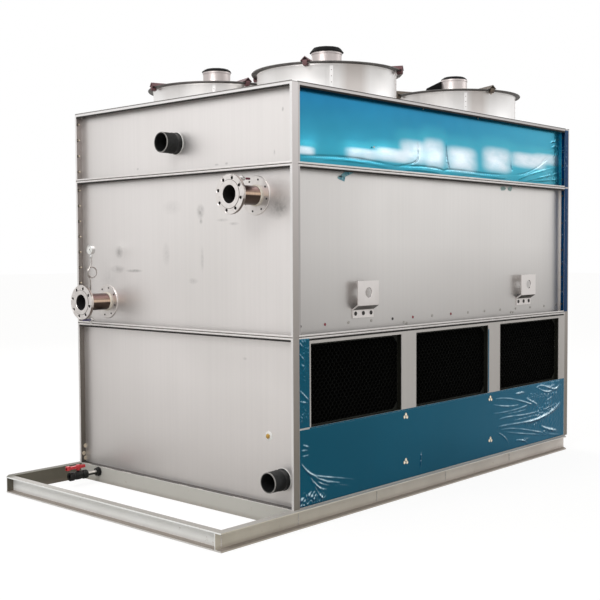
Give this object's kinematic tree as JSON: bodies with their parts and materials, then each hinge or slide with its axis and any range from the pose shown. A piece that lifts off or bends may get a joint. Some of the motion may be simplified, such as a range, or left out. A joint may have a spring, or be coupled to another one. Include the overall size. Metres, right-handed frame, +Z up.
{
  "type": "closed-circuit cooling tower",
  "caption": "Skid-mounted sheet-metal cooling tower with roof fans, side air inlets under blue film, and flanged pipe nozzles on one end.",
  "frame": {"origin": "bottom centre of the skid's footprint, on the floor", "axes": "+X along the tower away from the pipe end, -Y towards the front side, +Z up"},
  "size_m": [3.653, 2.014, 2.7713],
  "materials": {
    "skid_steel": "dull galvanised steel, weld marks and dirt",
    "casing_sheet": "satin zinc-coated sheet, some panels still under blue protective film",
    "inlet_black": "black moulded plastic honeycomb",
    "eliminator_dark": "black moulded plastic blades",
    "fan_metal": "bright rolled sheet",
    "motor_metal": "light metal housing, black cap, brown primed arms",
    "nozzle_steel": "turned stainless steel",
    "stub_plastic": "black plastic pipe socket",
    "gauge_steel": "bright fittings",
    "valve_black": "black moulded plastic",
    "film_blue": "blue protective film, glossy and creased",
    "bolt_zinc": "zinc-plated fasteners",
    "primer_brown": "red-brown primer",
    "sealant_white": "white sealant",
    "brass_plug": "brass",
    "handle_red": "red moulded plastic"
  },
  "bodies": {
    "casing": {"skid_side_front": "skid_steel", "skid_side_back": "skid_steel", "skid_end_pipe_side": "skid_steel", "skid_end_far_side": "skid_steel", "skid_cross_beam": "skid_steel", "skid_middle_beam": "skid_steel", "end_panel_pipe_lower": "casing_sheet", "end_panel_far_lower": "casing_sheet", "end_panel_pipe_coil": "casing_sheet", "end_panel_far_coil": "casing_sheet", "end_panel_pipe_fan": "casing_sheet", "end_panel_far_fan": "casing_sheet", "front_panel_coil": "casing_sheet", "front_panel_fan": "casing_sheet", "front_basin_panel": "casing_sheet", "front_inlet_frame": "casing_sheet", "front_inlet_louvre": "inlet_black", "lifting_lug_front_1": "casing_sheet", "lifting_lug_front_2": "casing_sheet", "back_panel_coil": "casing_sheet", "back_panel_fan": "casing_sheet", "back_basin_panel": "casing_sheet", "back_inlet_frame": "casing_sheet", "back_inlet_louvre": "inlet_black", "lifting_lug_back_1": "casing_sheet", "lifting_lug_back_2": "casing_sheet", "basin_floor": "casing_sheet", "drift_eliminator": "eliminator_dark", "roof_deck": "casing_sheet", "fan_cowl_1": "fan_metal", "fan_motor_1": "motor_metal", "fan_cowl_2": "fan_metal", "fan_motor_2": "motor_metal", "fan_cowl_3": "fan_metal", "fan_motor_3": "motor_metal", "fan_cowl_4": "fan_metal", "fan_motor_4": "motor_metal", "upper_nozzle": "nozzle_steel", "lower_nozzle": "nozzle_steel", "upper_pipe_stub": "stub_plastic", "lower_pipe_stub": "stub_plastic", "pressure_gauge": "gauge_steel", "vent_cock": "gauge_steel", "nozzle_drain_cock": "gauge_steel", "basin_drain_valve": "valve_black"},
    "rotor_1": {"fan_rotor_1": "fan_metal"},
    "rotor_2": {"fan_rotor_2": "fan_metal"},
    "rotor_3": {"fan_rotor_3": "fan_metal"},
    "rotor_4": {"fan_rotor_4": "fan_metal"},
    "handle": {"drain_valve_handle": "handle_red"}
  },
  "joints": [
    {"name": "fan_1_spin", "type": "hinge", "parent": "casing", "child": "rotor_1", "pos_m": [-0.4215, -0.501, 2.52], "axis": [0, 0, 1], "continuous": true},
    {"name": "fan_2_spin", "type": "hinge", "parent": "casing", "child": "rotor_2", "pos_m": [0.9885, -0.501, 2.52], "axis": [0, 0, 1], "continuous": true},
    {"name": "fan_3_spin", "type": "hinge", "parent": "casing", "child": "rotor_3", "pos_m": [-0.4215, 0.501, 2.52], "axis": [0, 0, 1], "continuous": true},
    {"name": "fan_4_spin", "type": "hinge", "parent": "casing", "child": "rotor_4", "pos_m": [0.9885, 0.501, 2.52], "axis": [0, 0, 1], "continuous": true},
    {"name": "drain_valve_turn", "type": "hinge", "parent": "casing", "child": "handle", "pos_m": [-1.4238, 0.769, 0.104], "axis": [0, 0, 1], "range_deg": [0, 90]}
  ]
}
